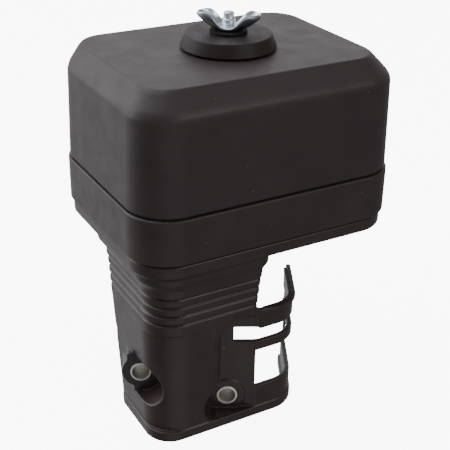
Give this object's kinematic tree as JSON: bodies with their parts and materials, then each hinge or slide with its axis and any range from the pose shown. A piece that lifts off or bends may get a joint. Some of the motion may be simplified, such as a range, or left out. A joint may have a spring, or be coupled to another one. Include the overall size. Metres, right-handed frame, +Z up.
{
  "type": "oil-bath air cleaner",
  "caption": "Box-shaped oil-bath engine air cleaner on a ribbed elbow duct, held by a wing nut, with two steel-collared stud holes and a slotted lever guard.",
  "frame": {"origin": "centre of the outlet hole, midway between the two carburettor studs, on the face that meets the carburettor", "axes": "+Z up along the centre stud, +X along the box's long side to the right seen from the front, +Y to the back"},
  "size_m": [0.128, 0.0972, 0.1811],
  "materials": {
    "elbow_plastic": "semi-gloss moulded, ribbed neck",
    "case_plastic": "satin moulded",
    "cover_plastic": "satin moulded, fine grain",
    "collar_steel": "bright turned ends",
    "screw_steel": "zinc plated",
    "stud_zinc": "bright zinc",
    "wing_zinc": "bright zinc with a blue cast",
    "seal_rubber": "matte black",
    "grid_plastic": "natural moulded",
    "filter_foam": "oiled open-cell foam"
  },
  "bodies": {
    "base": {"elbow": "elbow_plastic", "collar_left": "collar_steel", "collar_right": "collar_steel", "case_gasket": "seal_rubber", "oil_case": "case_plastic", "case_screws": "screw_steel", "screw_washers": "screw_steel", "centre_stud": "stud_zinc", "lower_stud_nut": "screw_steel", "upper_stud_nut": "screw_steel", "stud_washers": "screw_steel", "stud_seal": "seal_rubber", "cover_seal": "seal_rubber", "lower_grid": "grid_plastic"},
    "element": {"filter_element": "filter_foam"},
    "cover": {"cover": "cover_plastic", "upper_grid": "grid_plastic"},
    "cap": {"inlet_cap": "cover_plastic"},
    "nut_seal": {"nut_seal": "seal_rubber"},
    "wing_nut": {"wing_nut": "wing_zinc"}
  },
  "joints": [
    {"name": "cover_lift", "type": "slide", "parent": "base", "child": "cover", "axis": [0, 0, 1], "range_m": [0, 0.1]},
    {"name": "element_lift", "type": "slide", "parent": "base", "child": "element", "axis": [0, 0, 1], "range_m": [0, 0.0501]},
    {"name": "cap_lift", "type": "slide", "parent": "cover", "child": "cap", "axis": [0, 0, 1], "range_m": [0, 0.02]},
    {"name": "nut_travel", "type": "slide", "parent": "cap", "child": "nut_seal", "axis": [0, 0, 1], "range_m": [0, 0.00801]},
    {"name": "wing_nut_turn", "type": "hinge", "parent": "nut_seal", "child": "wing_nut", "pos_m": [0.03, 0.0156, 0.1543], "axis": [0, 0, 1], "range_deg": [0, 2880]}
  ],
  "couplings": [
    {"joint": "element_lift", "follows": "cover_lift", "ratio": 0.5},
    {"joint": "nut_travel", "follows": "wing_nut_turn", "m_per_rad": 0.00015915}
  ]
}
